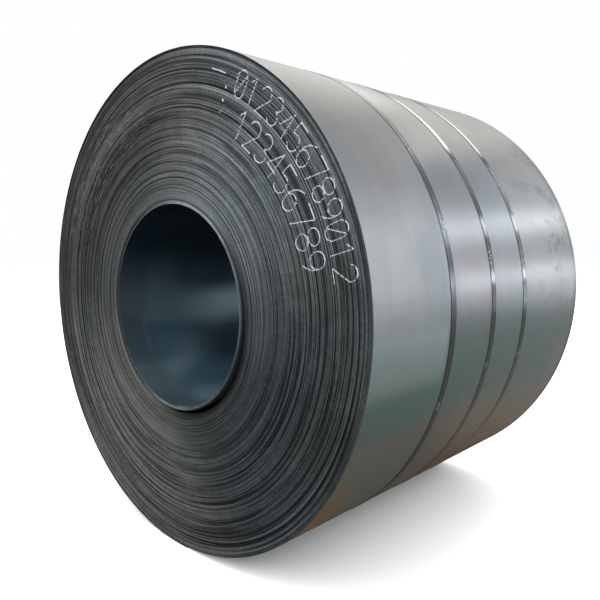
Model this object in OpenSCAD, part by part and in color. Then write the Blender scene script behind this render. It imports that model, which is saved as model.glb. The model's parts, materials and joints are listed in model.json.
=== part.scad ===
// Coil of hot-rolled steel strip, lying on its side and held by three steel straps.
// Millimetres, +Z up. The coil's axis runs along Y, its front end faces -Y, and the
// origin is on the floor under the middle of the coil.

/* [Strip] */
// Width of the strip, which is the length of the eye
strip_width = 1510; // [1000:10:2000]
// Thickness of the strip
strip_thickness = 3.2; // [2:0.1:6]

/* [Coil] */
// Diameter over the outermost turn
coil_d = 1870; // [1500:10:2100]
// Diameter of the eye, set by the mandrel that the coil was wound on
eye_d = 762; // [508:2:800]
// Height of one turn as wound, as a multiple of the strip's thickness
winding_looseness = 1.045; // [1:0.005:1.1]
// Turns in each group that runs level on the ends
group_turns = 5; // [3:1:10]
// Furthest that a group of turns wanders to either side
wander = 2; // [0.5:0.5:6]

/* [Straps] */
// Width of the strapping
strap_width = 32; // [19:1:51]
// Thickness of the strapping
strap_thickness = 0.9; // [0.5:0.1:1.3]
// Distance of the front strap's middle from the front end
strap_front_at = 432; // [200:1:560]
// Distance of the middle strap's middle from the front end
strap_middle_at = 714; // [640:1:800]
// Distance of the back strap's middle from the front end
strap_back_at = 972; // [880:1:990]
// Length over which the two ends of a strap lie on each other
strap_lap = 190; // [120:5:300]

/* [Seals] */
// Length of a seal along its strap
seal_length = 57; // [40:1:80]
// Thickness of a seal's sheet
seal_thickness = 1; // [0.8:0.1:1.5]
// Where the seals sit, in degrees from the top towards -X
seal_angle = 45; // [20:1:70]
// Diameter of the crimping notches in a seal's edges
notch_d = 8; // [5:0.5:10]

/* [Hidden] */
$fn = 96;
coil_r = coil_d / 2;
eye_r = eye_d / 2;
axis_z = coil_r + strap_thickness;
front_y = -strip_width / 2;

// The wall of the coil, counted in whole turns and whole groups of turns
wall = coil_r - eye_r;
groups = floor(wall / (strip_thickness * winding_looseness * group_turns));
group_height = wall / groups;
function group_r(group) = eye_r + group * group_height;

// Sideways shift of a group: none at the eye, and never the same in two neighbours
golden_angle = 137.5;
function shift(group) = wander * max(-1, min(1, 1.2 * sin(golden_angle * group)));

// Distances from the coil's axis to the top of a strap's two layers and of a seal
lap_top_r = coil_r + 2 * strap_thickness;
seal_top_r = lap_top_r + seal_thickness;
seal_half_width = strap_width / 2 + seal_thickness;
notch_pitch = seal_length / 3;

function arc_angle(length) = length / coil_r * 180 / PI;

steel_grey = [0.42, 0.43, 0.44];
strap_blue = [0.16, 0.18, 0.21];
seal_grey = [0.30, 0.31, 0.33];

// Places a shape that is turned about Z on the coil's axis, at a distance from the front end
module on_axis(distance) {
    translate([0, front_y + distance, axis_z])
        rotate([-90, 0, 0])
            children();
}

// Turns a profile through an arc of this length, centred where the seals sit
module at_seals(length) {
    rotate([0, 0, 270 - seal_angle - arc_angle(length) / 2])
        rotate_extrude(angle = arc_angle(length))
            children();
}

// A wedge from the coil's axis to beyond its surface, this wide at the surface
module sector(length) {
    half_angle = arc_angle(length) / 2;
    rotate(270 - seal_angle)
        polygon([[0, 0], for (side = [-1, 1]) coil_d * [cos(half_angle), side * sin(half_angle)]]);
}

// The wound strip, as one turned solid whose ends step from group to group of turns
module coil() {
    front = [for (group = [0:groups - 1], side = [0, 1])
        [group_r(group + side), shift(group) - strip_width / 2]];
    back = [for (group = [groups - 1:-1:0], side = [1, 0])
        [group_r(group + side), shift(group) + strip_width / 2]];
    color(steel_grey)
        on_axis(strip_width / 2)
            rotate_extrude()
                polygon(concat(front, back));
}

// One strap: a ring drawn tight round the coil, twice as thick where its ends overlap
module strap(distance) {
    color(strap_blue)
        on_axis(distance)
            translate([0, 0, -strap_width / 2])
                linear_extrude(strap_width)
                    difference() {
                        union() {
                            circle(coil_r + strap_thickness);
                            intersection() {
                                circle(lap_top_r);
                                sector(strap_lap);
                            }
                        }
                        circle(coil_r);
                    }
}

// One seal: a sheet-steel saddle folded over both layers of its strap, notched by the crimper
module seal(distance) {
    color(seal_grey)
        on_axis(distance)
            difference() {
                at_seals(seal_length)
                    difference() {
                        translate([coil_r, -seal_half_width])
                            square([seal_top_r - coil_r, 2 * seal_half_width]);
                        translate([coil_r, -strap_width / 2])
                            square([lap_top_r - coil_r, strap_width]);
                    }
                for (along = [-0.5, 0.5], side = [-1, 1])
                    rotate([0, 0, 270 - seal_angle + arc_angle(along * notch_pitch)])
                        translate([coil_r - notch_d, 0, side * (seal_half_width + seal_thickness)])
                            rotate([0, 90, 0])
                                cylinder(d = notch_d, h = 2 * notch_d);
            }
}

module strap_front() { strap(strap_front_at); }
module strap_middle() { strap(strap_middle_at); }
module strap_back() { strap(strap_back_at); }
module seal_front() { seal(strap_front_at); }
module seal_middle() { seal(strap_middle_at); }
module seal_back() { seal(strap_back_at); }

coil();
strap_front();
strap_middle();
strap_back();
seal_front();
seal_middle();
seal_back();
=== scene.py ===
# %% [markdown]
# # A coil of hot-rolled steel strip
# The object is one strip of steel, 3.2 mm thick and 1.5 m wide, wound into 165 turns and held by three
# steel straps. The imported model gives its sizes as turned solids. This file models what those can't: the
# spiral of the strip itself, its slack turns, its straps and seals, and the finish.

# %% Load the frame
import json
import math

import bpy
import numpy as np
from mathutils import Matrix, Vector


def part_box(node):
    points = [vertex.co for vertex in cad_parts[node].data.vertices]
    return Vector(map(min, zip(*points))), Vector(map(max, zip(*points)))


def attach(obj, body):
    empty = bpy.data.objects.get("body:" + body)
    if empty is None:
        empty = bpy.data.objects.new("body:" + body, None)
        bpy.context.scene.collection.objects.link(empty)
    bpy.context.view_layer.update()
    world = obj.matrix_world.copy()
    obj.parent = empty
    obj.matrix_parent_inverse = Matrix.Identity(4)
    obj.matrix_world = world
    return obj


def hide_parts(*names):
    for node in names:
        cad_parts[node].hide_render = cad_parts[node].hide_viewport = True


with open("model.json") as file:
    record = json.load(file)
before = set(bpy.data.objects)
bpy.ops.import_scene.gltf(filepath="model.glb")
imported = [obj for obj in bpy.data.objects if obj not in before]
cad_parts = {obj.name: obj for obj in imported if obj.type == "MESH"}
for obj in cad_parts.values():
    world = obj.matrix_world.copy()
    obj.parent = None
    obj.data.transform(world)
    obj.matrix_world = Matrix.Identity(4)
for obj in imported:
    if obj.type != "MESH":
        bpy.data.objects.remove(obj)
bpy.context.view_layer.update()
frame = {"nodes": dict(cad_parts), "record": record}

# %% [markdown]
# ## Sizes
# Every size that the model already knows is read from it and never typed again. Only the strip's own facts
# are new, since a turned solid has no turns. Angles run clockwise from the top, seen from the front end.

# %% Sizes of the coil and its straps
MM = 0.001
eye = next(m for m in frame["record"]["mounts"] if m["name"] == "eye")
EYE_R = eye["dims"]["r_mm"] * MM
STRIP_WIDTH = eye["dims"]["length_mm"] * MM
AXIS_Z = eye["pos_m"][2]
COIL_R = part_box("coil")[1].x
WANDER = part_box("coil")[1].y - STRIP_WIDTH / 2

STRIP_THICKNESS = 3.2 * MM
TURNS = 165
PITCH = (COIL_R - EYE_R - STRIP_THICKNESS) / TURNS
TIGHT_PITCH = STRIP_THICKNESS + 0.005 * MM
TAIL_ANGLE = 176.0
CROWN = 0.55 * MM
PAINT_DEPTH = 0.3 * MM

STRAPS = ("front", "middle", "back")
STRAP_Y = {}
for strap in STRAPS:
    low_corner, high_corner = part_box(f"strap_{strap}")
    STRAP_Y[strap] = (low_corner.y + high_corner.y) / 2
STRAP_WIDTH = high_corner.y - low_corner.y
STRAP_THICKNESS = AXIS_Z - COIL_R

print(f"eye {EYE_R:.3f} m, coil {COIL_R:.3f} m, {TURNS} turns, one each {PITCH / MM:.3f} mm")
print("straps at", {strap: round(y, 3) for strap, y in STRAP_Y.items()})

# %% [markdown]
# ## The camera
# It stands a little above the coil's axis, out to the right, about 2.4 m from the middle of the front end.
# It is placed from there, so it stays put if the floor or the back end moves.

# %% The camera
def new_object(name, data):
    thing = bpy.data.objects.new(name, data)
    bpy.context.scene.collection.objects.link(thing)
    return thing


EYE_TO_CAMERA = Vector((1.918, -1.3465, 0.2846))
CAMERA_AZIMUTH = math.radians(44.44)
CAMERA_ELEVATION = math.radians(5.85)
LENS = 36.9
SHIFT = (0.0244, -0.0113)


def make_camera():
    data = bpy.data.cameras.new("camera")
    data.sensor_width = 36.0
    data.lens = LENS
    data.shift_x, data.shift_y = SHIFT
    data.clip_end = 200.0
    camera = new_object("camera", data)
    level = math.cos(CAMERA_ELEVATION)
    right, near = math.sin(CAMERA_AZIMUTH) * level, math.cos(CAMERA_AZIMUTH) * level
    back = Vector((right, -near, math.sin(CAMERA_ELEVATION)))
    camera.rotation_mode = "QUATERNION"
    camera.rotation_quaternion = (-back).to_track_quat("-Z", "Y")
    camera.location = Vector((0, -STRIP_WIDTH / 2, AXIS_Z)) + EYE_TO_CAMERA
    bpy.context.scene.camera = camera
    return camera


camera = make_camera()
print("camera at", [round(c, 3) for c in camera.location])

# %% [markdown]
# ## How the strip winds
# A coil could be drawn as rings, but the real strip is a single spiral, with a head in the eye, a tail at
# the bottom, and a step where the tail ends. So a place on the strip is one number, the count of turns
# from the head, and everything else follows from it.

# %% Where a turn runs
def angle_at(turn):
    """Degrees clockwise from the top, where the strip is after this many turns."""
    return TAIL_ANGLE + 360.0 * (TURNS - turn)


def hump(angle, low, high):
    """A smooth rise and fall between two angles, and nothing outside them."""
    share = np.clip((np.mod(angle - low, 360.0)) / (high - low), 0.0, 1.0)
    return np.sin(np.pi * share) ** 2


def turn_opposite(turn, angle):
    """The nearest later turn at which the strip passes this angle."""
    return turn + np.mod(angle_at(turn) - angle, 360.0) / 360.0


print(f"the strip passes the top {turn_opposite(0.0, 0.0):.2f} turns from its head")

# %% [markdown]
# Turns don't all lie tight. The innermost laps sprang inwards when the mandrel let go, which leaves a
# dark crescent behind them, and narrower gaps run elsewhere. The coil's outside is fixed, so the small
# gaps share whatever room the wide ones leave.

# %% Slack between the turns
# A gap opens after some turn, between two angles, and has a greatest width.
eye_gaps = [
    (4.3, 66.0, 222.0, 18.0 * MM),
    (9.3, 46.0, 128.0, 2.6 * MM),
    (1.2, 205.0, 400.0, 2.6 * MM),
    (12.4, 150.0, 330.0, 1.2 * MM),
]
rng = np.random.default_rng(7)
small_gaps = []
for after in np.linspace(15.0, 162.0, 46):
    middle = rng.uniform(0.0, 360.0)
    half = rng.uniform(50.0, 150.0)
    first_turn = after + rng.uniform(-1.5, 1.5)
    share_of_room = rng.uniform(0.1, 1.0) ** 2
    small_gaps.append((first_turn, middle - half, middle + half, share_of_room))
ROOM = (PITCH - TIGHT_PITCH) * TURNS
EVEN_SHARE = 0.12


def opened(gap, turn, angle):
    """How wide this gap is at the angle, once the strip has passed it, and nothing before."""
    after, low, high, width = gap
    start = turn_opposite(after, (low + high) / 2 + 180.0)
    return np.where(turn > start, width * hump(angle, low, high), 0.0)


def slack(turn):
    """How far all the gaps inside this turn have pushed it outwards."""
    angle = angle_at(turn)
    end = np.full_like(turn, 2.0 * TURNS)
    named = sum(opened(gap, turn, angle) for gap in eye_gaps)
    room_left = ROOM - sum(opened(gap, end, angle) for gap in eye_gaps)
    so_far = sum(opened(gap, turn, angle) for gap in small_gaps) + EVEN_SHARE * turn / TURNS
    in_all = sum(opened(gap, end, angle) for gap in small_gaps) + EVEN_SHARE
    return named + room_left * so_far / in_all


def inner_radius(turn):
    return EYE_R + TIGHT_PITCH * turn + slack(turn)


last_lap = inner_radius(np.array([TURNS * 1.0, TURNS - 0.5])) + STRIP_THICKNESS
print(f"room for slack {ROOM / MM:.1f} mm, last lap's outside {last_lap[0]:.4f} and {last_lap[1]:.4f} m")

# %% [markdown]
# The strip also wanders from side to side as it is wound, by a millimetre or two. On the ends this shows
# as groups of turns that stand proud or lie back, and as single deep turns that read as dark lines.
# Random runs with short ramps between them give that; a sine would look machined.

# %% How the edges wander
EYE_TURNS = [0.0, 0.15, 1.0, 4.0, 4.5, 6.3, 7.0]
EYE_HEIGHTS = [-2.0 * MM, -0.4 * MM, 1.2 * MM, 1.2 * MM, -2.6 * MM, -2.2 * MM, -0.4 * MM]
FINE_STEP = 0.3
DEEPEST = -9.0 * MM
PROUDEST = WANDER - CROWN - PAINT_DEPTH - 0.05 * MM


def groups_of_turns(generator):
    """Turn counts and the edge's level there: flat runs with short ramps between."""
    knots, heights = list(EYE_TURNS), list(EYE_HEIGHTS)
    turn = 7.5
    while turn < TURNS:
        level = generator.uniform(-1.4, 0.9) * MM
        climb = generator.uniform(0.05, 0.5)
        run = generator.uniform(1.0, 6.0)
        knots += [turn + climb, turn + climb + run]
        heights += [level, level + generator.normal(0.0, 0.2) * MM]
        turn += climb + run
    return knots, heights


def sink_turns(generator, turns, edge):
    """Lets single turns lie deep, and more of them near the outside."""
    starts = list(generator.uniform(9.0, TURNS - 1.2, 40))
    starts += list(generator.uniform(138.0, TURNS - 1.2, 13))
    for start in starts:
        span = generator.uniform(0.35, 1.0)
        depth = generator.uniform(2.0, 6.0) * MM
        share = np.clip((turns - start) / span, 0.0, 1.0)
        edge = edge - depth * np.clip(3.0 * np.minimum(share, 1.0 - share), 0.0, 1.0)
    return edge


def edge_profile(generator):
    """Turn numbers, and how far the strip's edge stands out there."""
    knots, heights = groups_of_turns(generator)
    turns = np.arange(0.0, TURNS + 1.0, 0.02)
    edge = np.interp(turns, knots, heights)
    fine = generator.normal(0.0, 0.2, int(TURNS / FINE_STEP) + 4) * MM
    edge = edge + np.interp(turns, np.arange(len(fine)) * FINE_STEP, fine)
    return turns, np.clip(sink_turns(generator, turns, edge), DEEPEST, PROUDEST)


profile_turns, front_profile = edge_profile(np.random.default_rng(11))
_, back_profile = edge_profile(np.random.default_rng(23))
print(f"front edge {front_profile.min() / MM:.2f} to {front_profile.max() / MM:.2f} mm")

# %% [markdown]
# At the front the turns just outside the crescent were dragged inwards with the laps that sprang. They lie
# back from the right of the eye round to its foot, so the lip of the eye casts a shadow on them.

# %% The two edges of the strip
DIP_FIRST, DIP_LAST = 4.3, 11.0
DIP_DEPTH = 8.0 * MM


def dip_by_eye(turn):
    """How far the turns outside the crescent lie back."""
    between = np.clip(np.minimum(turn - DIP_FIRST, DIP_LAST - turn), 0.0, 1.0)
    return DIP_DEPTH * between * hump(angle_at(turn), 40.0, 232.0)


def front_edge(turn):
    return -STRIP_WIDTH / 2 - np.interp(turn, profile_turns, front_profile) + dip_by_eye(turn)


def back_edge(turn):
    return STRIP_WIDTH / 2 + np.interp(turn, profile_turns, back_profile)


by_eye = np.linspace(DIP_FIRST, DIP_LAST, 200)
print(f"turns by the eye lie back by up to {dip_by_eye(by_eye).max() / MM:.1f} mm")

# %% [markdown]
# ## Building meshes
# Thousands of faces in neat rows are quickest as arrays, handed to Blender in one go. Every long piece is a
# section swept along a path, with a cap at each end. Pieces are shaded smooth but keep edges sharper than
# an angle, because a strip's cut edge isn't round.

# %% A sweep with closed ends
def sweep(rows):
    """Points and quads of a closed section swept along a path. rows is stations by section by xyz."""
    stations, around, _ = rows.shape
    index = np.arange(stations * around).reshape(stations, around)
    following = np.roll(index, -1, axis=1)
    quads = np.stack([index[:-1], following[:-1], following[1:], index[1:]], axis=-1)
    faces = [list(q) for q in quads.reshape(-1, 4).tolist()]
    caps = [index[0][::-1].tolist(), index[-1].tolist()]
    return rows.reshape(-1, 3), faces + caps


def on_coil(radius, angle, along):
    """Points at these radii, angles in degrees and distances along the axis."""
    turned = np.radians(angle)
    return np.stack([radius * np.sin(turned), along, AXIS_Z + radius * np.cos(turned)], axis=-1)


def make_piece(name, points, faces, materials, face_materials=None, sharp=40.0):
    mesh = bpy.data.meshes.new(name)
    mesh.from_pydata(points, [], faces)
    for material in materials:
        mesh.materials.append(material)
    if face_materials is not None:
        mesh.polygons.foreach_set("material_index", face_materials)
    mesh.polygons.foreach_set("use_smooth", np.ones(len(mesh.polygons), bool))
    mesh.set_sharp_from_angle(angle=math.radians(sharp))
    mesh.validate()
    piece = new_object(name, mesh)
    print(f"{name}: {sum(len(face) - 2 for face in faces)} triangles")
    return piece


print(len(frame["nodes"]), "solids in the model, which the pieces below stand for")

# %% [markdown]
# ## Materials
# Each kind of node gets a short function. An input can be another node's output or a plain value, and a
# new node joins the tree that its inputs come from.

# %% Node helpers
def new_node(kind, *values):
    """A node in the tree that the first socket among these values belongs to."""
    tree = next(value.id_data for value in values if isinstance(value, bpy.types.NodeSocket))
    return tree.nodes.new(kind)


def feed(socket, value):
    """Gives an input another node's output, or a plain number or colour."""
    if isinstance(value, bpy.types.NodeSocket):
        socket.id_data.links.new(value, socket)
    elif isinstance(value, tuple):
        socket.default_value = (*value, 1.0)
    else:
        socket.default_value = value


def maths(operation, *values):
    node = new_node("ShaderNodeMath", *values)
    node.operation = operation
    for socket, value in zip(node.inputs, values):
        feed(socket, value)
    return node.outputs[0]


def combine(x, y, z):
    node = new_node("ShaderNodeCombineXYZ", x, y, z)
    for socket, value in zip(node.inputs, (x, y, z)):
        feed(socket, value)
    return node.outputs[0]


def noise(vector, scale=1.0, detail=2.0, roughness=0.5):
    node = new_node("ShaderNodeTexNoise", vector)
    feed(node.inputs["Scale"], scale)
    node.inputs["Detail"].default_value = detail
    node.inputs["Roughness"].default_value = roughness
    feed(node.inputs["Vector"], vector)
    return node.outputs["Fac"]


def blend(mask, first, second, mode="MIX"):
    """Mixes two colours by a mask."""
    node = new_node("ShaderNodeMix", mask, first, second)
    node.data_type = "RGBA"
    node.blend_type = mode
    for index, value in ((0, mask), (6, first), (7, second)):
        feed(node.inputs[index], value)
    return node.outputs[2]


print("node helpers:", ", ".join(helper.__name__ for helper in (maths, combine, noise, blend)))

# %% [markdown]
# Most of a finish is masks: a value read between two limits and held at its ends. A fade starts and stops
# softly, and a ramp is straight. A stain lays a colour over another where a mask is.

# %% Masks
def map_range(kind, value, low, high, to_low, to_high):
    node = new_node("ShaderNodeMapRange", value)
    node.interpolation_type = kind
    feed(node.inputs["Value"], value)
    limits = {"From Min": low, "From Max": high, "To Min": to_low, "To Max": to_high}
    for label, number in limits.items():
        node.inputs[label].default_value = number
    return node.outputs["Result"]


def fade(value, low, high, to_low=0.0, to_high=1.0):
    return map_range("SMOOTHSTEP", value, low, high, to_low, to_high)


def ramp(value, low, high, to_low=0.0, to_high=1.0):
    return map_range("LINEAR", value, low, high, to_low, to_high)


def close_to(value, centre, far, near):
    """A mask for values close to a centre: nothing this far off, full this near."""
    return fade(maths("ABSOLUTE", maths("SUBTRACT", value, centre)), far, near)


def times(*values):
    """The product of masks or numbers. Of masks, it is full only where all of them are."""
    product = values[0]
    for value in values[1:]:
        product = maths("MULTIPLY", product, value)
    return product


def total(*values):
    added = values[0]
    for value in values[1:]:
        added = maths("ADD", added, value)
    return added


def stain(colour, mask, strength, stained):
    """Lays a second colour over the first where the mask is."""
    return blend(times(mask, strength), colour, stained)


print("mask helpers:", ", ".join(helper.__name__ for helper in (fade, ramp, close_to, times, total)))

# %% [markdown]
# ### Where a point lies on the coil
# Every finish on the coil depends on how far a point is from the axis, where around it and where along it.
# A node group works these out once, with the angle as a point on a circle, because an angle in degrees
# would leave a seam where it jumps back to nought. Noise reads them stretched, so its streaks run around.

# %% Where a point lies on the coil
def new_group(name, inputs, outputs):
    tree = bpy.data.node_groups.new(name, "ShaderNodeTree")
    for label, value in inputs:
        socket = tree.interface.new_socket(label, in_out="INPUT", socket_type="NodeSocketFloat")
        socket.default_value = value
    for label in outputs:
        tree.interface.new_socket(label, in_out="OUTPUT", socket_type="NodeSocketFloat")
    return tree, tree.nodes.new("NodeGroupInput"), tree.nodes.new("NodeGroupOutput")


def use_group(tree, group):
    node = tree.nodes.new("ShaderNodeGroup")
    node.node_tree = group
    return node


def make_place_group():
    tree, _, out = new_group("place_on_coil", [], ["Radius", "Across", "Up", "Along", "Turn"])
    where = tree.nodes.new("ShaderNodeTexCoord")
    split = tree.nodes.new("ShaderNodeSeparateXYZ")
    feed(split.inputs[0], where.outputs["Object"])
    x, y = split.outputs[0], split.outputs[1]
    z = maths("SUBTRACT", split.outputs[2], AXIS_Z)
    radius = maths("SQRT", total(times(x, x), times(z, z)))
    turn = maths("DIVIDE", maths("SUBTRACT", radius, EYE_R), PITCH)
    results = (radius, maths("DIVIDE", x, radius), maths("DIVIDE", z, radius), y, turn)
    for socket, result in zip(out.inputs, results):
        feed(socket, result)
    return tree


place_group = make_place_group()


def place(tree):
    return use_group(tree, place_group).outputs


def towards(spot, angle, far, near):
    """A mask for the side of the coil at an angle: nothing this many degrees away, full this near."""
    across = times(spot["Across"], math.sin(math.radians(angle)))
    alike = total(across, times(spot["Up"], math.cos(math.radians(angle))))
    return fade(alike, math.cos(math.radians(far)), math.cos(math.radians(near)))


def stretched(spot, label, by_label, around, shift=0.0):
    """Coordinates for noise: this many to a turn or to a metre along, and this many around."""
    up = maths("MULTIPLY_ADD", spot["Up"], around, shift)
    return combine(times(spot[label], by_label), times(spot["Across"], around), up)


print("place_on_coil puts out", [item.name for item in place_group.interface.items_tree])

# %% [markdown]
# ### Clouds of oxide
# Steel that has been rolled and handled is never one grey: broad clouds of oxide and oil lie over it. The
# clouds are one group, used with its own scale and seed in each finish.

# %% Clouds of oxide
def make_cloud_group():
    tree, given, out = new_group("oxide_clouds", [("Scale", 3.0), ("Seed", 0.0)], ["Broad", "Fine"])
    where = tree.nodes.new("ShaderNodeTexCoord")
    moved = tree.nodes.new("ShaderNodeVectorMath")
    moved.operation = "ADD"
    feed(moved.inputs[0], where.outputs["Object"])
    feed(moved.inputs[1], given.outputs["Seed"])
    for label, finer, detail in (("Broad", 1.0, 3.0), ("Fine", 11.0, 6.0)):
        fac = noise(moved.outputs[0], times(given.outputs["Scale"], finer), detail)
        feed(out.inputs[label], fac)
    return tree


cloud_group = make_cloud_group()


def clouds(tree, scale, seed):
    node = use_group(tree, cloud_group)
    node.inputs["Scale"].default_value = scale
    node.inputs["Seed"].default_value = seed
    return node.outputs["Broad"], node.outputs["Fine"]


print("oxide_clouds puts out", [item.name for item in cloud_group.interface.items_tree])

# %% [markdown]
# A material starts as one Principled shader. What is the same all over is set on the shader itself, and
# only what changes from place to place comes in through nodes.

# %% Starting a material
def new_material(name, **settings):
    """A Principled material, its tree and its shader, with its constants set on the shader itself."""
    material = bpy.data.materials.new(name)
    material.use_nodes = True
    tree = material.node_tree
    shader = tree.nodes["Principled BSDF"]
    for label, value in settings.items():
        shader.inputs[label.replace("_", " ").title()].default_value = value
    print("material", name)
    return material, tree, shader


def bump(shader, height, strength, distance):
    node = new_node("ShaderNodeBump", height)
    node.inputs["Strength"].default_value = strength
    node.inputs["Distance"].default_value = distance
    feed(node.inputs["Height"], height)
    feed(shader.inputs["Normal"], node.outputs["Normal"])


def coat(shader, colour, rough):
    feed(shader.inputs["Base Color"], colour)
    feed(shader.inputs["Roughness"], rough)


print("materials so far:", len(bpy.data.materials))

# %% [markdown]
# ### The edges of the turns
# The ends are 165 raw strip edges seen side on: dark mill scale, rubbed bright on turns that stand proud.
# The tone changes from turn to turn but holds for a long way around, so noise is read in turns across.

# %% Tones of the edges
def turn_tones(spot, broad, fine):
    """How bare each turn is, and its colour from dark scale to bare metal."""
    by_turn = stretched(spot, "Turn", 0.9, 1.0)
    single = ramp(noise(by_turn, roughness=0.7), 0.3, 0.7, 0.0, 0.75)
    group = ramp(noise(by_turn, 0.2, detail=1.0), 0.35, 0.65, 0.0, 0.15)
    tone = total(single, group, fade(fine, 0.35, 0.65, 0.0, 0.10), -0.55)
    tone = times(tone, fade(spot["Radius"], 0.44, 0.66, 0.42, 1.1))
    warmth = fade(broad, 0.42, 0.64)
    scale = blend(warmth, (0.034, 0.037, 0.038), (0.040, 0.040, 0.038))
    bare = blend(warmth, (0.140, 0.149, 0.153), (0.152, 0.152, 0.147))
    return tone, blend(fade(tone, -0.40, 0.40), scale, bare)


def shade_grooves_and_rub(spot, colour):
    """Paints groove shade on single turns as black lines, and rubs a patch at the upper left bright."""
    # Painted shade: single turns are made near black, as the shade down the grooves between turns.
    deep = noise(stretched(spot, "Turn", 0.42, 0.9, 17.0), detail=1.0)
    painted_groove_shade = times(fade(deep, 0.455, 0.40), fade(spot["Radius"], 0.44, 0.68, 0.18, 0.85))
    colour = blend(painted_groove_shade, colour, (0.010, 0.011, 0.011))
    grain = noise(stretched(spot, "Turn", 0.7, 16.0), detail=4.0, roughness=0.65)
    rubbed = times(
        fade(grain, 0.50, 0.68),
        fade(spot["Across"], 0.05, -0.65),
        fade(spot["Up"], -0.1, 0.5),
        close_to(spot["Radius"], 0.76, 0.16, 0.05),
    )
    return blend(rubbed, colour, (0.27, 0.275, 0.28))


print("scale to bare metal over", TURNS, "turns")

# %% [markdown]
# The eye's lip is bright in places, as if the mandrel had worn it, and the turns beside the crescent lie in
# its shadow, which is painted on them as dark arcs. Each such place is an arc of a ring, between two turns
# or two radii, and on one side.

# %% The lip of the eye
# The turns where an arc fades out and is full, its side, and how far round it fades and is full.
WORN_ARCS = [
    (4.0, 3.0, -8.0, 70.0, 35.0),
    (1.3, 0.9, 75.0, 65.0, 40.0),
    (4.6, 3.6, 178.0, 60.0, 25.0),
]
# Painted shade: what bounds an arc, its inner and outer fades, its side and reach, its strength and colour.
PAINTED_SHADE_ARCS = [
    ("Turn", (0.9, 1.5), (5.2, 4.0), (268.0, 84.0, 52.0), 0.88, (0.014, 0.015, 0.017)),
    ("Radius", (0.391, 0.397), (0.448, 0.416), (118.0, 88.0, 45.0), 0.72, (0.012, 0.012, 0.012)),
    ("Turn", (3.8, 4.5), (6.4, 5.4), (-12.0, 76.0, 44.0), 0.72, (0.016, 0.017, 0.019)),
]


def eye_lip(spot, fine, colour):
    lip = 0.0
    for nothing, full, side, far, near in WORN_ARCS:
        arc = times(fade(spot["Turn"], nothing, full), towards(spot, side, far, near))
        lip = maths("MAXIMUM", arc, lip)
    lip = times(lip, fade(fine, 0.35, 0.60, 0.45, 1.0))
    colour = blend(lip, colour, (0.17, 0.175, 0.18))
    # The dark arcs are painted shade of the lip on the turns beside the crescent.
    for label, inner, outer, side, strength, black in PAINTED_SHADE_ARCS:
        band = times(fade(spot[label], *inner), fade(spot[label], *outer))
        colour = stain(colour, times(band, towards(spot, *side)), strength, black)
    return colour


print(len(WORN_ARCS), "worn arcs and", len(PAINTED_SHADE_ARCS), "black ones round the eye")

# %% [markdown]
# An end is lighter and darker in broad fans, painted highlight and shade of the light that falls on it,
# with slight tints. They are listed with where they lie and how much they add, so one loop lays them all.

# %% Fans across the ends
NEAR_EYE = (0.59, 0.44)
FAR_OUT = (0.60, 0.84)
OUTER = (0.81, 0.90)
RIM = (0.918, 0.928)
EVEN_BRIGHTNESS = 1.09
# The radii over which a fan grows, its side, how far round it fades and is full, and the painted light it
# adds.
PAINTED_LIGHT_FANS = [
    (NEAR_EYE, 0.0, 125.0, 70.0, 0.46),
    (None, 215.0, 60.0, 25.0, 0.72),
    (None, 36.0, 48.0, 15.0, 0.18),
    (None, 84.0, 30.0, 12.0, 0.22),
    (None, 136.0, 42.0, 15.0, -0.10),
    (FAR_OUT, 238.0, 50.0, 20.0, 0.28),
    (FAR_OUT, 162.0, 50.0, 20.0, 0.30),
    (NEAR_EYE, 205.0, 70.0, 30.0, -0.30),
    (OUTER, 5.0, 60.0, 30.0, -0.25),
    (RIM, 290.0, 120.0, 80.0, -0.6),
]
TINTS = [
    (98.0, 92.0, 45.0, (0.89, 0.985, 1.05)),
    (208.0, 55.0, 25.0, (1.05, 1.02, 0.95)),
]


def painted_fans_and_tints(spot, colour):
    bright = EVEN_BRIGHTNESS
    for radii, side, far, near, gain in PAINTED_LIGHT_FANS:
        fan = towards(spot, side, far, near)
        if radii is not None:
            fan = times(fan, fade(spot["Radius"], *radii))
        bright = maths("MULTIPLY_ADD", fan, gain, bright)
    grain = noise(stretched(spot, "Turn", 1.6, 60.0), roughness=0.6)
    bright = times(bright, ramp(grain, 0.35, 0.65, 0.72, 1.30))
    colour = blend(1.0, colour, combine(bright, bright, bright), "MULTIPLY")
    for side, far, near, tint in TINTS:
        colour = blend(towards(spot, side, far, near), colour, tint, "MULTIPLY")
    return colour


print(len(PAINTED_LIGHT_FANS), "fans and", len(TINTS), "tints")

# %% [markdown]
# Ringed edges shine like a turned disc, in two opposite fans, which an anisotropic highlight gives.

# %% The edges of the turns
def make_edge_material():
    material, tree, shader = new_material(
        "raw_turn_edges", metallic=0.9, anisotropic=0.45, anisotropic_rotation=0.25
    )
    tangent = tree.nodes.new("ShaderNodeTangent")
    tangent.direction_type = "RADIAL"
    tangent.axis = "Y"
    feed(shader.inputs["Tangent"], tangent.outputs["Tangent"])
    spot = place(tree)
    broad, fine = clouds(tree, 2.2, 4.0)
    tone, colour = turn_tones(spot, broad, fine)
    colour = shade_grooves_and_rub(spot, colour)
    colour = eye_lip(spot, fine, colour)
    colour = painted_fans_and_tints(spot, colour)
    coat(shader, colour, fade(tone, -0.45, 0.35, 0.56, 0.46))
    bump(shader, fine, 0.15, 0.3 * MM)
    return material


edge_material = make_edge_material()

# %% [markdown]
# ### The face of the strip
# Hot-rolled strip is a satin metal that shows only long soft reflections, so the interest is in its tint
# and roughness. It is clouded, streaked around, and smudged where it was handled, most of all at the back.

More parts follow.
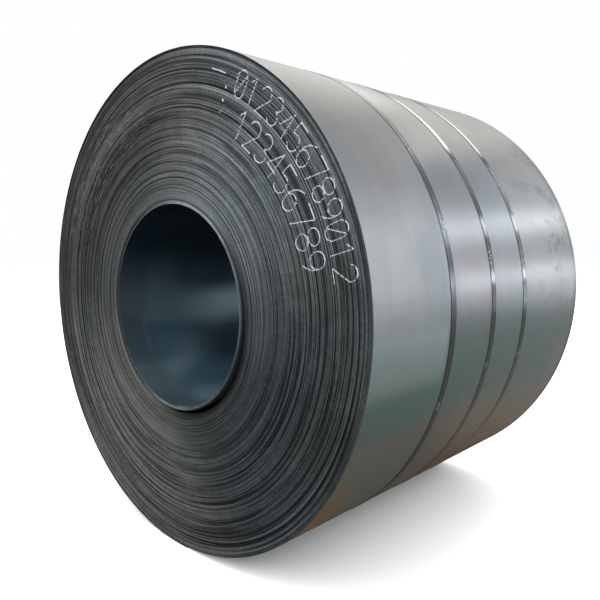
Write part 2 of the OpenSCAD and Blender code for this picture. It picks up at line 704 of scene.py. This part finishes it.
# %% Steel, clouded and smudged
def clouded_steel(tree, streaks, broad):
    steel = blend(fade(broad, 0.35, 0.65), (0.268, 0.300, 0.325), (0.345, 0.352, 0.358))
    steel = stain(steel, fade(streaks, 0.35, 0.75), 0.16, (0.24, 0.245, 0.25))
    rosy = fade(clouds(tree, 3.1, 5.0)[0], 0.46, 0.66)
    return stain(steel, rosy, 0.55, (0.315, 0.285, 0.300))


def smudge(spot, smudges, steel):
    """Gives the smudged steel, and how smudged each place is."""
    back_strap = STRAP_Y["back"]
    smudged = fade(spot["Along"], back_strap - 0.1, back_strap + 0.25, 0.35, 0.9)
    darker = times(smudged, fade(smudges, 0.50, 0.72))
    return stain(steel, darker, 0.42, (0.165, 0.180, 0.190)), smudged


print("steel is smudged most behind", round(STRAP_Y["back"], 3))

# %% [markdown]
# Below the middle the face is painted greenish, and brown under that: painted reflections of a darker
# greenish, brown floor. Rust has begun at the foot. Their borders waver, because the height they are
# read from does.

# %% Oil, dust and rust
def paint_low_reflections(spot, broad, steel):
    """Gives the steel with painted reflections low down, and where the brown one lies."""
    steel = blend(fade(spot["Up"], 0.50, 0.72), steel, (0.34, 0.333, 0.325))
    height = total(spot["Up"], ramp(broad, 0.3, 0.7, -0.10, 0.10))
    # Painted reflection: greenish below the middle, standing for a darker floor.
    oil = times(fade(height, 0.06, -0.14), fade(spot["Along"], 0.7, -0.5, 0.45, 0.9))
    steel = blend(oil, steel, (0.188, 0.278, 0.254))
    # Painted reflection: brown lower down, where the face is also rougher.
    brown_reflection = fade(height, -0.30, -0.46)
    low_brown_colour = blend(fade(spot["Along"], -0.4, -0.1), (0.265, 0.255, 0.225), (0.355, 0.31, 0.25))
    steel = blend(brown_reflection, steel, low_brown_colour)
    # Painted highlight: a lighter teal band a little below the middle, before the front strap.
    before_strap = fade(spot["Along"], STRAP_Y["front"], STRAP_Y["front"] - 0.05)
    wiped = times(before_strap, close_to(spot["Up"], -0.11, 0.14, 0.05))
    return stain(steel, wiped, 0.8, (0.37, 0.445, 0.435)), brown_reflection


def rust_at_foot(spot, fine, steel):
    middle = close_to(spot["Along"], 0.24, 0.50, 0.14)
    rusty = times(
        maths("MAXIMUM", middle, fade(spot["Along"], -0.60, -0.70)),
        fade(spot["Up"], -0.46, -0.66),
        ramp(fine, 0.25, 0.75, 0.40, 1.0),
    )
    steel = blend(rusty, steel, (0.42, 0.225, 0.085))
    foot = times(fade(spot["Up"], -0.62, -0.72), fade(spot["Along"], 0.0, 0.45))
    return stain(steel, foot, 0.6, (0.15, 0.125, 0.09))


# The painted teal highlight stops at the front strap.
print("oil is wiped off before", round(STRAP_Y["front"], 3))

# %% [markdown]
# Fine scratches lie near the back rim, and the rim itself is dark. The roughness follows what was laid
# down: duller before the first strap, where the painted brown reflection lies, and in smudges.

# %% The face of the strip
def scratch_and_rim(spot, streaks, smudges, steel):
    scratches = times(
        fade(noise(stretched(spot, "Along", 150.0, 18.0)), 0.52, 0.64),
        fade(spot["Along"], 0.42, 0.54),
        fade(smudges, 0.46, 0.60),
        towards(spot, 68.0, 30.0, 16.0),
    )
    steel = stain(steel, scratches, 0.75, (0.07, 0.07, 0.075))
    rim = fade(spot["Along"], STRIP_WIDTH / 2 - 0.055, STRIP_WIDTH / 2 - 0.012)
    dark_rim = times(rim, fade(streaks, 0.40, 0.62, 0.15, 0.8))
    return blend(dark_rim, steel, (0.17, 0.155, 0.135))


def make_strip_material():
    material, tree, shader = new_material("oiled_strip_face", metallic=1.0)
    spot = place(tree)
    streaks = noise(stretched(spot, "Along", 22.0, 1.6), detail=4.0, roughness=0.6)
    smudges = noise(stretched(spot, "Along", 5.0, 9.0), detail=5.0, roughness=0.62)
    broad, fine = clouds(tree, 1.7, 12.0)
    steel = clouded_steel(tree, streaks, broad)
    steel, smudged = smudge(spot, smudges, steel)
    steel, brown_reflection = paint_low_reflections(spot, broad, steel)
    steel = rust_at_foot(spot, fine, steel)
    steel = scratch_and_rim(spot, streaks, smudges, steel)
    front_strap = STRAP_Y["front"]
    rough = total(
        ramp(streaks, 0.3, 0.7, 0.290, 0.325),
        fade(spot["Along"], front_strap - 0.05, front_strap + 0.02, 0.17, 0.0),
        times(brown_reflection, 0.12),
        fade(broad, 0.35, 0.65, 0.045, 0.0),
        times(smudged, fade(smudges, 0.35, 0.65, 0.0, 0.06)),
    )
    coat(shader, steel, rough)
    bump(shader, streaks, 0.012, 1.0 * MM)
    return material


strip_material = make_strip_material()

# %% [markdown]
# ### Inside the eye
# The first lap lay against the mandrel and has kept its blue-black oxide and a film of oil. So it is a
# metal with a deep blue base and slow clouds in its roughness. Light and shade are painted on it: its lower
# wall is lighter, its top near black, and painted shade darkens it at the mouth and low down deep inside.

# %% Inside the eye
def make_eye_material():
    material, tree, shader = new_material("blue_oxide_in_eye", metallic=0.45)
    shader.inputs["Specular IOR Level"].default_value = 0.25
    spot = place(tree)
    along, up = spot["Along"], spot["Up"]
    on_wall = combine(spot["Across"], up, times(along, 1.6))
    broad = noise(on_wall, 1.7, detail=1.0)
    colour = blend(fade(broad, 0.40, 0.60), (0.030, 0.062, 0.084), (0.060, 0.094, 0.118))
    # Painted light: the lower wall, which light from above falls on, is lighter.
    colour = blend(fade(up, -0.15, -0.70), colour, (1.55, 1.50, 1.45), "MULTIPLY")
    # A lighter patch lies deep in, at mid height.
    lighter_patch = times(fade(along, -0.55, -0.12), close_to(up, -0.16, 0.30, 0.04))
    colour = stain(colour, lighter_patch, 0.8, (0.30, 0.385, 0.435))
    # Painted shade low down deep in the eye.
    painted_low_shade = times(fade(along, -0.45, -0.25), close_to(up, -0.62, 0.26, 0.08))
    colour = stain(colour, painted_low_shade, 0.8, (0.016, 0.030, 0.040))
    # Painted shade at the mouth.
    painted_mouth_shade = fade(along, 0.17 - STRIP_WIDTH / 2, 0.10 - STRIP_WIDTH / 2)
    colour = stain(colour, painted_mouth_shade, 0.6, (0.034, 0.042, 0.052))
    scrape = times(close_to(along, -0.645, 0.026, 0.0), fade(up, -0.02, -0.34))
    colour = stain(colour, scrape, 0.11, (0.16, 0.20, 0.23))
    # Painted shade: the top of the eye is near black.
    colour = stain(colour, fade(up, -0.16, 0.66), 0.95, (0.003, 0.008, 0.013))
    coat(shader, colour, fade(broad, 0.3, 0.7, 0.30, 0.44))
    bump(shader, noise(on_wall, 2.5, detail=0.0), 0.05, 2.0 * MM)
    return material


eye_material = make_eye_material()

# %% [markdown]
# ### Gap shade, seals and paint
# Three finishes are only two colours mixed by clouds: the near-black painted shade on faces seen down the
# gaps between the turns, the seals' bare sheet steel, and the chalky marking paint, which is worn thin in
# places.

# %% Gap shade, seals and paint
def clouded_material(name, cloud, mix, colours, rough, bumped, **settings):
    """A finish of two colours. mix and rough each say which cloud to read and how."""
    material, tree, shader = new_material(name, **settings)
    by_name = dict(zip(("broad", "fine"), clouds(tree, *cloud)))
    colour = blend(fade(by_name[mix[0]], *mix[1:]), *colours)
    coat(shader, colour, fade(by_name[rough[0]], 0.3, 0.7, *rough[1:]))
    if bumped:
        bump(shader, by_name["fine"], 0.10, 0.3 * MM)
    return material


# Painted shade: the faces between the turns are near black, as the shade in the gaps.
gap_shade_material = clouded_material(
    "painted_shade_between_turns", (6.0, 9.0), ("broad", 0.35, 0.65),
    ((0.008, 0.009, 0.010), (0.016, 0.016, 0.015)), ("fine", 0.55, 0.75), False, metallic=0.2,
)
seal_material = clouded_material(
    "bare_seal_steel", (14.0, 7.0), ("broad", 0.35, 0.65),
    ((0.50, 0.50, 0.49), (0.38, 0.37, 0.355)), ("fine", 0.30, 0.46), True, metallic=1.0,
)
paint_material = clouded_material(
    "white_marking_paint", (24.0, 3.0), ("fine", 0.44, 0.66, 0.0, 0.8),
    ((0.31, 0.33, 0.345), (0.10, 0.107, 0.112)), ("broad", 0.65, 0.85), True,
)

# %% [markdown]
# ### The straps' steel
# The straps are blued steel, scraped bright in spots, as slings and forks do. Light and shade are painted
# on
# them: a painted highlight over the top of the coil, painted shade along their edges and low down, and a
# dark, dull top on the front one, painted shade where it shows no highlight.

# %% The straps' steel
def make_strap_material():
    material, tree, shader = new_material("blued_strap_steel", metallic=1.0)
    spot = place(tree)
    broad, fine = clouds(tree, 9.0, 2.0)
    front_strap = STRAP_Y["front"]
    # The front strap's top is painted dark and dull: painted shade where the others show a highlight.
    worn = fade(spot["Along"], front_strap + 0.05, front_strap + 0.1, 1.0, 0.0)
    blued = blend(fade(broad, 0.4, 0.6), (0.13, 0.14, 0.16), (0.19, 0.20, 0.22))
    # Painted highlight over the top of the coil.
    blued = blend(fade(spot["Up"], 0.60, 0.645), blued, (0.78, 0.78, 0.77))
    blued = blend(times(worn, fade(spot["Up"], 0.55, 0.65)), blued, (0.17, 0.17, 0.17))
    # Painted shade low down.
    blued = blend(fade(spot["Up"], 0.10, -0.15), blued, (0.085, 0.092, 0.09))
    from_middle = STRIP_WIDTH
    for y in STRAP_Y.values():
        away = maths("ABSOLUTE", maths("SUBTRACT", spot["Along"], y))
        from_middle = maths("MINIMUM", away, from_middle)
    # Painted shade along both edges of each strap.
    painted_edge_shade = fade(from_middle, STRAP_WIDTH * 0.33, STRAP_WIDTH * 0.44)
    blued = stain(blued, painted_edge_shade, 0.8, (0.05, 0.052, 0.055))
    scraped = times(fade(fine, 0.56, 0.64), fade(broad, 0.47, 0.6))
    colour = stain(blued, scraped, 0.7, (0.62, 0.62, 0.60))
    shine = ramp(broad, 0.3, 0.7, 0.14, 0.20)
    coat(shader, colour, total(shine, times(scraped, 0.12), times(worn, 0.12)))
    bump(shader, fine, 0.08, 0.3 * MM)
    return material


strap_material = make_strap_material()

# %% [markdown]
# ## The wound strip
# Each turn is modelled closed, with two faces and two crowned edges, so light falls into the gaps as it
# does on the real coil, and the faces seen only down the gaps carry the painted gap shade. One function
# winds any stretch of it.

# %% Winding a stretch of strip
OUTER_FACE, EDGE, INNER_FACE = 0, 1, 2


def wind(name, first, last, per_turn, columns, outer_face, inner_face, dips=None):
    """The stretch of strip between two turn counts, with its faces cut into this many columns."""
    turn = np.linspace(first, last, round((last - first) * per_turn) + 1)
    angle = angle_at(turn)
    inside = inner_radius(turn)
    front, back = front_edge(turn), back_edge(turn)
    along = front[:, None] + (back - front)[:, None] * np.linspace(0.0, 1.0, columns + 1)
    outside = (inside + STRIP_THICKNESS)[:, None] + np.zeros_like(along)
    if dips is not None:
        outside = outside - dips(angle[:, None], along)
    lower = outside - STRIP_THICKNESS
    middle = (inside + STRIP_THICKNESS / 2)[:, None]
    radius = np.concatenate([outside, middle, lower[:, ::-1], middle], axis=1)
    section = [along, (back + CROWN)[:, None], along[:, ::-1], (front - CROWN)[:, None]]
    points, faces = sweep(on_coil(radius, angle[:, None], np.concatenate(section, axis=1)))
    one_station = [OUTER_FACE] * columns + [EDGE] * 2 + [INNER_FACE] * columns + [EDGE] * 2
    kinds = one_station * (len(turn) - 1) + [EDGE] * 2
    piece = make_piece(name, points, faces, [outer_face, edge_material, inner_face], kinds, sharp=50.0)
    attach(piece, "root")
    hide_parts("coil")
    return piece


print("a stretch has three materials: its outer face, its edges and its inner face")

# %% [markdown]
# The winding is cut in two, each half under 200,000 triangles. The laps in the eye and the last lap are
# pieces of their own, with a finer grid, because long reflections show up every flat facet. The last lap
# also dips in long, shallow waves, so its reflections bend a little.

# %% The wound strip
WAVES = 14
WAVE_DEPTH = 0.22 * MM


def ripple(angle, along):
    """How far the last lap's face dips below a true spiral."""
    turned = np.radians(angle)
    waves = np.zeros(np.broadcast(angle, along).shape)
    generator = np.random.default_rng(5)
    for _ in range(WAVES):
        around = generator.integers(3, 22)
        lengthways = generator.uniform(1.0, 9.0)
        phase = generator.uniform(0.0, 2 * math.pi)
        waves += np.cos(around * turned + lengthways * along + phase) / around
    return WAVE_DEPTH * (waves - waves.min())


MIDDLE_TURN = 84.0
LAST_LAP = TURNS - 1.0
wind("coil_eye_laps", 0.0, 2.0, 180, 12, gap_shade_material, eye_material)
wind("coil_inner_turns", 2.0, MIDDLE_TURN, 144, 1, gap_shade_material, gap_shade_material)
wind("coil_outer_turns", MIDDLE_TURN, LAST_LAP, 144, 1, gap_shade_material, gap_shade_material)
wind("coil_last_lap", LAST_LAP, float(TURNS), 360, 48, strip_material, gap_shade_material, ripple)

# %% [markdown]
# ## The straps
# A strap is a flat steel band pulled tight round the coil. It can't follow the step where the last lap
# ends: it leaves the tail at a tangent and comes down to the turn below a few degrees on.

# %% Where a strap lies
def coil_outside(angle):
    """The outside radius of the last lap at an angle."""
    turn = TURNS - np.mod(angle - TAIL_ANGLE, 360.0) / 360.0
    return inner_radius(turn) + STRIP_THICKNESS


TAIL_R = float(coil_outside(np.array([TAIL_ANGLE]))[0])
BELOW_TAIL_R = float(coil_outside(np.array([TAIL_ANGLE - 1e-6]))[0])


def strap_seat(angle):
    """The radius of a strap's underside. Past the tail it runs straight down to the next turn."""
    reach = math.acos(BELOW_TAIL_R / TAIL_R)
    past = np.radians(np.mod(TAIL_ANGLE - angle, 360.0))
    chord = BELOW_TAIL_R / np.cos(np.clip(reach - past, 0.0, reach))
    return np.maximum(coil_outside(angle), np.where(past < reach, chord, 0.0))


print(f"the tail stands {(TAIL_R - BELOW_TAIL_R) / MM:.1f} mm proud of the turn below")

# %% [markdown]
# At the seal a strap's two ends lie one over the other, and the seal's tool has pinched both. A band is one
# sweep of a flat bar, a little more than once round, and its second end climbs onto its first.

# %% The straps
SEAL_ANGLE = -45.0
LAP_HALF = math.degrees(0.5 * 0.190 / COIL_R)
END_RISE = 3.0
NOTCHES = (-11.0 * MM, 11.0 * MM)
NOTCH_WIDTH = 3.6 * MM
NOTCH_DEPTH = 3.4 * MM
CORNER = 0.3 * MM
SIDES = np.array([-1, -1, 1, 1, 1, 1, -1, -1])
INSETS = np.array([0, 1, 1, 0, 0, 1, 1, 0]) * CORNER
TOP_HALF = [STRAP_THICKNESS - CORNER, STRAP_THICKNESS, STRAP_THICKNESS, STRAP_THICKNESS - CORNER]
HEIGHTS = np.array(TOP_HALF + [CORNER, 0.0, 0.0, CORNER])


def seal_crimp(distance):
    """How far the seal's sides are pinched in, at this distance from its middle."""
    return NOTCH_DEPTH * sum(np.exp(-((distance - notch) / NOTCH_WIDTH) ** 2) for notch in NOTCHES)


def make_strap(strap):
    angle = np.linspace(SEAL_ANGLE - LAP_HALF, SEAL_ANGLE + 360.0 + LAP_HALF, 720)
    to_upper = angle - (SEAL_ANGLE + 360.0 - LAP_HALF)
    lift = STRAP_THICKNESS * np.clip(1.0 + to_upper / END_RISE, 0.0, 1.0) * 1.02
    seat = strap_seat(angle) + lift
    from_seal = np.abs(np.mod(angle - SEAL_ANGLE + 180.0, 360.0) - 180.0)
    half = STRAP_WIDTH / 2 - seal_crimp(np.radians(from_seal) * COIL_R)
    across = SIDES * (half[:, None] - INSETS)
    points, faces = sweep(on_coil(seat[:, None] + HEIGHTS, angle[:, None], STRAP_Y[strap] + across))
    band = make_piece(f"strap_band_{strap}", points, faces, [strap_material])
    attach(band, "root")
    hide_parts(f"strap_{strap}")
    return band


for strap in STRAPS:
    make_strap(strap)
print(f"a lap of {2 * math.radians(LAP_HALF) * COIL_R / MM:.0f} mm on each strap")

# %% [markdown]
# ## The seals
# A seal is a short sleeve of steel sheet, slipped over both ends of the strap and pinched shut, with
# notches in its sides. Its section is an open C, so it is one more sweep along the strap.

# %% The seals
SEAL_LENGTH = 57.0 * MM
SEAL_THICKNESS = 0.8 * MM
SEAL_CORNER = 0.45 * MM
SEAL_PLAY = 0.15 * MM
SEAL_FLARE = 0.5 * MM


def make_seal(strap):
    distance = np.linspace(-SEAL_LENGTH / 2, SEAL_LENGTH / 2, 72)
    angle = SEAL_ANGLE + np.degrees(distance / COIL_R)
    inner = STRAP_WIDTH / 2 - seal_crimp(distance) + SEAL_PLAY
    outer = inner + SEAL_THICKNESS
    roof = 2.04 * STRAP_THICKNESS + 0.08 * MM
    top = roof + SEAL_THICKNESS
    side = top - SEAL_CORNER
    foot = 0.05 * MM + SEAL_FLARE * seal_crimp(distance) / NOTCH_DEPTH
    left, right = SEAL_CORNER - outer, outer - SEAL_CORNER
    across = np.stack([-outer, -outer, left, right, outer, outer, inner, inner, -inner, -inner], axis=1)
    high = np.broadcast_arrays(foot, side, top, top, side, foot, foot, roof, roof, foot)
    radius = strap_seat(angle)[:, None] + np.stack(high, axis=1)
    points, faces = sweep(on_coil(radius, angle[:, None], STRAP_Y[strap] + across))
    sleeve = make_piece(f"seal_sleeve_{strap}", points, faces, [seal_material])
    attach(sleeve, "root")
    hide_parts(f"seal_{strap}")
    return sleeve


for strap in STRAPS:
    make_seal(strap)

# %% [markdown]
# ## The painted numbers
# A marking machine at the mill writes on the turn edges with one thin jet. Here it wrote plain counting
# numbers. Each figure is a few strokes in a box one unit high and 0.6 wide.

# %% The strokes of each figure
def bend(middle_x, middle_y, radius_x, radius_y, first, last, steps=8):
    """Part of an oval, from one angle to another, in degrees anticlockwise from the right."""
    turned = np.radians(np.linspace(first, last, steps + 1))
    return [(middle_x + radius_x * math.cos(a), middle_y + radius_y * math.sin(a)) for a in turned]


FIGURES = {
    "0": [bend(0.3, 0.7, 0.3, 0.3, 0, 180) + bend(0.3, 0.3, 0.3, 0.3, 180, 360) + [(0.6, 0.7)],
          [(0.08, 0.16), (0.52, 0.84)]],
    "1": [[(0.1, 0.78), (0.32, 1.0), (0.32, 0.0)]],
    "2": [bend(0.3, 0.72, 0.3, 0.28, 165, -20) + [(0.0, 0.0), (0.6, 0.0)]],
    "3": [bend(0.28, 0.76, 0.28, 0.24, 150, -80) + bend(0.28, 0.27, 0.32, 0.27, 80, -150)],
    "4": [[(0.45, 0.0), (0.45, 1.0), (0.0, 0.3), (0.6, 0.3)]],
    "5": [[(0.56, 1.0), (0.06, 1.0), (0.03, 0.56)] + bend(0.28, 0.31, 0.32, 0.31, 120, -150)],
    "6": [[(0.46, 1.0)] + bend(0.55, 0.35, 0.55, 0.62, 120, 180) + bend(0.3, 0.3, 0.3, 0.3, 180, 540, 16)],
    "7": [[(0.0, 1.0), (0.6, 1.0), (0.22, 0.0)]],
    "8": [bend(0.3, y, 0.3, high, 90, 450, 20) for y, high in ((0.76, 0.24), (0.26, 0.26))],
    "9": [bend(0.3, 0.7, 0.3, 0.3, 0, 360, 16) + bend(0.05, 0.62, 0.55, 0.62, 0, -62)],
}
print(f"{sum(len(strokes) for strokes in FIGURES.values())} strokes for ten figures")

# %% [markdown]
# Paint lies on the turns' edges and steps up and down with them, so each point must know its turn. At one
# angle the turns lie at known radii, so it is the last one whose inside is not beyond the point.

# %% The turn under a point
def turn_under(radius, angle):
    """The turn that lies under a point of the end, at this radius and angle."""
    nearest = np.round((radius - EYE_R) / PITCH)
    share = np.mod(TAIL_ANGLE - angle, 360.0) / 360.0
    found = nearest * 0.0 + share
    for step in range(-9, 4):
        candidate = np.clip(nearest + step + share, 0.0, TURNS)
        found = np.where(inner_radius(candidate) <= radius, candidate, found)
    return found


def paint_surface(radius, angle):
    """How far along the axis the painted edge is at this radius and angle."""
    turn = turn_under(radius, angle)
    over = np.clip((radius - inner_radius(turn)) / STRIP_THICKNESS, 0.0, 1.0)
    return front_edge(turn) - CROWN * (1.0 - np.abs(2.0 * over - 1.0))


half_way = turn_under(np.array([(EYE_R + COIL_R) / 2]), np.array([90.0]))[0]
print(f"half way out on the right lies turn {half_way:.1f}")

# %% [markdown]
# A jet's line isn't quite even, and it is narrow where it starts and stops. So a stroke's width wavers,
# and its underside is sunk in the steel, which leaves no gap beneath.

# %% Laying a stroke
STROKE_STEP = 1.5 * MM
STROKE_END = 2.5 * MM
SUNK = 0.5 * MM
WAVER = 0.12
CROSSING = np.array([-0.5, -0.2, 0.2, 0.5])
stroke_rng = np.random.default_rng(41)


def lay_stroke(path, width):
    """Points and faces of one stroke. path is (radius, degrees) pairs."""
    flat = np.array([(r * math.radians(a), r) for r, a in path])
    steps = np.linalg.norm(np.diff(flat, axis=0), axis=1)
    reached = np.concatenate([[0.0], np.cumsum(steps)])
    count = max(3, int(reached[-1] / STROKE_STEP))
    here = np.linspace(0.0, reached[-1], count)
    middle = np.stack([np.interp(here, reached, flat[:, i]) for i in (0, 1)], axis=1)
    heading = np.gradient(middle, axis=0)
    heading /= np.linalg.norm(heading, axis=1)[:, None] + 1e-12
    side = np.stack([-heading[:, 1], heading[:, 0]], axis=1)
    ends = np.minimum(1.0, 0.35 + np.minimum(here, here[-1] - here) / STROKE_END)
    wide = width * ends * (1.0 + WAVER * stroke_rng.normal(size=count))
    spots = middle[:, None, :] + side[:, None, :] * (wide[:, None] * CROSSING)[:, :, None]
    radius = spots[..., 1]
    angle = np.degrees(spots[..., 0] / middle[:, None, 1])
    top = paint_surface(radius, angle)
    upper = on_coil(radius, angle, top - PAINT_DEPTH)
    lower = on_coil(radius, angle, top + SUNK)
    return sweep(np.concatenate([upper, lower[:, ::-1]], axis=1))


def write(text, radius, first_angle, pitch, high, width, stroke_width):
    """Figures in a row along an arc. Gives the parts of a mesh."""
    parts = []
    for index, figure in enumerate(text):
        start = first_angle + index * pitch
        for stroke in FIGURES[figure]:
            path = []
            for x, y in stroke:
                turned = math.degrees(width * (x - 0.3) / 0.6 / radius)
                path.append((radius + high * (y - 0.5), start + turned))
            parts.append(lay_stroke(path, stroke_width))
    return parts


print(f"a point every {STROKE_STEP / MM:.1f} mm along a stroke")

# %% [markdown]
# Two rows of counting numbers, a dash and three dots are one piece, since they are one coat of paint.

# %% The painted numbers
STROKE = 4.0 * MM
DOT_HALF = 4.5 * MM
DOT_WIDTH = 9.5 * MM


def joined(parts):
    points, faces, offset = [], [], 0
    for some_points, some_faces in parts:
        points.append(some_points)
        faces += [[corner + offset for corner in face] for face in some_faces]
        offset += len(some_points)
    return np.concatenate(points), faces


parts = write("0123456789012", 0.848, 28.0, 4.25, 90.0 * MM, 48.0 * MM, STROKE)
parts += write("123456789", 0.735, 32.5, 5.3, 97.0 * MM, 52.0 * MM, STROKE)
parts.append(lay_stroke([(0.863, 17.2), (0.860, 22.3)], STROKE))
for dot_r in (0.819, 0.777, 0.740):
    parts.append(lay_stroke([(dot_r - DOT_HALF, 23.2), (dot_r + DOT_HALF, 23.3)], DOT_WIDTH))
paint_points, paint_faces = joined(parts)
numbers = make_piece("painted_numbers", paint_points, paint_faces, [paint_material], sharp=80.0)
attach(numbers, "root")

# %% [markdown]
# ## The studio
# A plain pale floor, and a world that is bright to the camera and as soft light, but nearly dark to
# reflections, which the lights alone should fill.

# %% Floor and world
FLOOR_HALF = 60.0


def make_floor():
    corners = [(x * FLOOR_HALF, y * FLOOR_HALF, 0) for x, y in ((-1, -1), (1, -1), (1, 1), (-1, 1))]
    material, tree, shader = new_material("pale_floor", roughness=0.9)
    shader.inputs["Specular IOR Level"].default_value = 0.0
    path = tree.nodes.new("ShaderNodeLightPath")
    # Pale to the camera and to soft light, dark in reflections: painted shade in the floor the steel
    # mirrors.
    pale_but_dark_to_reflections = blend(path.outputs["Is Glossy Ray"], (0.86, 0.86, 0.86), (0.15, 0.15, 0.146))
    feed(shader.inputs["Base Color"], pale_but_dark_to_reflections)
    floor = make_piece("floor", corners, [(0, 1, 2, 3)], [material])
    return floor


def make_world():
    world = bpy.data.worlds.new("studio")
    bpy.context.scene.world = world
    world.use_nodes = True
    world.cycles.sampling_method = "NONE"
    tree = world.node_tree
    background = tree.nodes["Background"]
    path = tree.nodes.new("ShaderNodeLightPath")
    seen = times(path.outputs["Is Camera Ray"], 0.92)
    soft = times(path.outputs["Is Diffuse Ray"], 1.06)
    feed(background.inputs["Strength"], total(seen, soft, 0.10))
    background.inputs["Color"].default_value = (0.97, 0.985, 1.0, 1.0)
    return world


floor = make_floor()
print("a floor", floor.dimensions.x, "m wide in the world", make_world().name)

# %% [markdown]
# Satin steel shows only what it reflects. Long lights parallel to the coil's axis each give one clean band
# along its face, where it mirrors them to the camera, and the dark bands are the gaps between them.

# %% Lights beside the coil
LIGHT_DISTANCE = 3.4
WARM = (1.0, 0.985, 0.96)
COOL = (0.94, 0.97, 1.0)
# Where a light starts and stops round the coil and along it, its brightness, colour and slant if any.
SIDE_LIGHTS = {
    "top_front": (-34, 3, 0.0, 3.3, 2.3, WARM),
    "top_middle": (-34, 16, 3.3, 5.2, 1.15, WARM),
    "top_edge": (-6, 16, 3.3, 5.2, 0.36, WARM),
    "top_step": (16, 25.5, 3.3, 4.15, 1.75, WARM),
    "top_back": (-34, 13, 5.2, 10.0, 0.80, WARM),
    "upper_band": (54, 63, 0.0, 9.0, 2.95, COOL, -8.0),
    "lower_band": (82, 87, 0.0, 9.0, 5.0, COOL),
    "front_haze": (8, 102, 0.0, 3.6, 0.69, COOL),
    "middle_haze": (16, 60, 3.6, 5.2, 0.34, COOL),
    "low_haze": (90.5, 101, 3.6, 5.2, 0.46, COOL),
    "back_haze": (13, 88, 5.2, 10.0, 0.92, COOL),
    "back_glow": (8, 42, 5.2, 10.0, 0.28, COOL),
    "back_low": (89, 103, 5.2, 10.0, 1.45, COOL),
}


def put_light(name, location, forward, length_axis, across, along, watts, colour):
    """A soft rectangle of light that shines along forward, its long side along length_axis."""
    data = bpy.data.lights.new(name, "AREA")
    data.shape = "RECTANGLE"
    data.size = across
    data.size_y = along
    data.energy = watts
    data.color = colour
    light = new_object(name, data)
    backward = -Vector(forward).normalized()
    side = Vector(length_axis).cross(backward).normalized()
    turned = Matrix((side, backward.cross(side), backward)).transposed()
    light.matrix_world = Matrix.Translation(location) @ turned.to_4x4()
    light.visible_camera = False
    return light


def side_light(name, first, last, low, high, brightness, colour, slant=0.0):
    """A long light beside the coil, between two directions in degrees clockwise from the top."""
    turned = math.radians((first + last) / 2)
    across = math.radians(abs(last - first)) * LIGHT_DISTANCE
    outward = Vector((math.sin(turned), 0.0, math.cos(turned)))
    location = outward * LIGHT_DISTANCE + Vector((0.0, (low + high) / 2, AXIS_Z))
    watts = brightness * math.pi * across * (high - low)
    onward = Vector((math.cos(turned), 0.0, -math.sin(turned)))
    length_axis = Vector((0.0, 1.0, 0.0)) + onward * math.tan(math.radians(slant))
    return put_light(name, location, -outward, length_axis, across, high - low, watts, colour)


for name, facts in SIDE_LIGHTS.items():
    side_light(name, *facts)
print(len(SIDE_LIGHTS), "lights beside the coil")

# %% [markdown]
# Large soft lights point at the middles of the ends: a key, a weaker one from the right, a fill from the
# left, and one for the back end, which the camera doesn't see.

# %% Lights on the ends
WHITE = (1.0, 1.0, 1.0)
LEVEL = (1.0, 0.0, 0.0)
UPRIGHT = (0.0, 0.0, 1.0)
FRONT_END = -STRIP_WIDTH / 2
BACK_END = STRIP_WIDTH / 2
# The end a light points at, where it stands from there, its long side, its size and its watts.
END_LIGHTS = {
    "key": (FRONT_END, (-1.75, -4.6, 5.2), LEVEL, 9.0, 9.5, 650.0),
    "right_key": (FRONT_END, (3.9, -4.2, 4.0), LEVEL, 6.0, 6.0, 285.0),
    "left_fill": (FRONT_END, (-5.0, -4.6, 2.0), UPRIGHT, 5.0, 5.0, 45.0),
    "back_fill": (BACK_END, (-4.8, 4.4, 0.6), UPRIGHT, 8.0, 4.5, 350.0),
}
for name, (end_y, away, length_axis, across, along, watts) in END_LIGHTS.items():
    location = Vector((0.0, end_y, AXIS_Z)) + Vector(away)
    put_light(name, location, -Vector(away), length_axis, across, along, watts, WHITE)
bpy.context.scene.view_settings.view_transform = "Standard"
print(len(END_LIGHTS), "lights on the ends")
